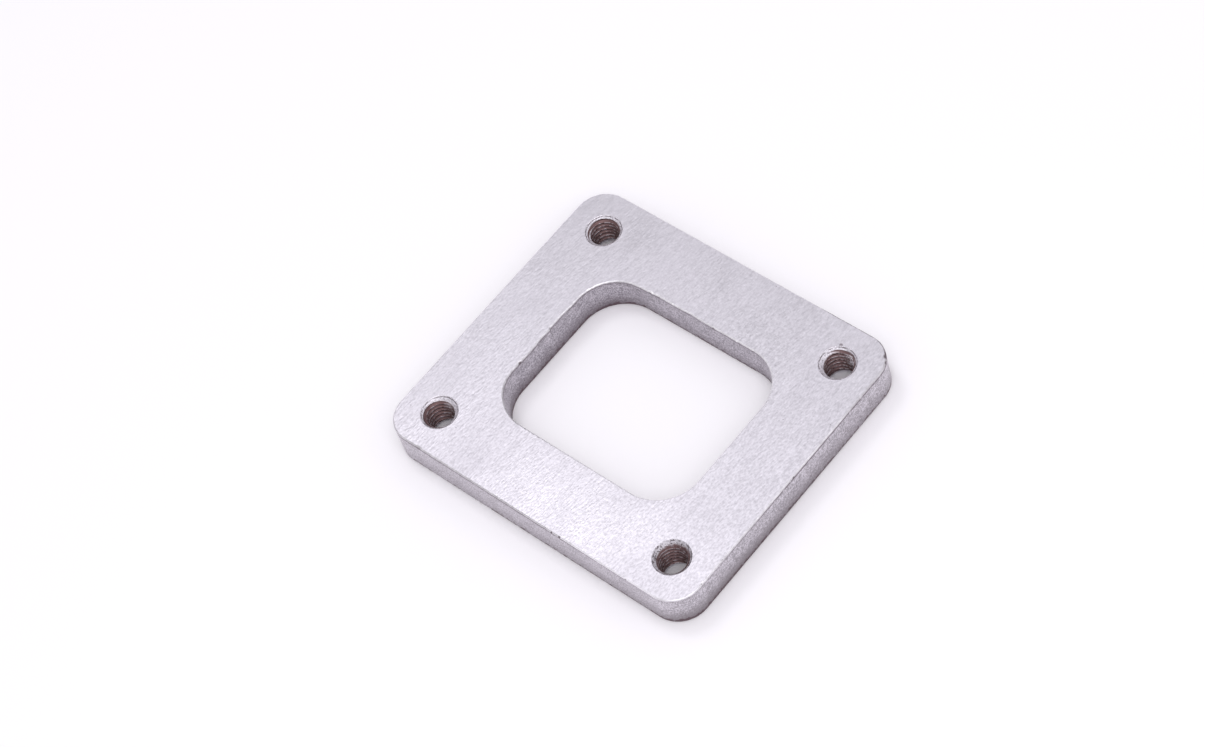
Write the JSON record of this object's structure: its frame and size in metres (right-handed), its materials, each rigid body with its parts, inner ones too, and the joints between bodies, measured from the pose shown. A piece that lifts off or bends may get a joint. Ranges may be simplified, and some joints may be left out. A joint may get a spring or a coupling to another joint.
{
  "type": "laser cut steel flange",
  "caption": "Flat rectangular steel flange with round corners, a large rounded port through its middle and a tapped hole near each corner.",
  "frame": {"origin": "middle of the port, in the plane of the underside", "axes": "+X along the plate's long side, +Y along its short side, +Z out of the top face"},
  "size_m": [0.09, 0.08, 0.0095],
  "materials": {
    "ground_steel": "bare mild steel, ground faces with a fine straight grain, laser cut edges"
  },
  "bodies": {
    "root": {"flange": "ground_steel"}
  },
  "joints": []
}
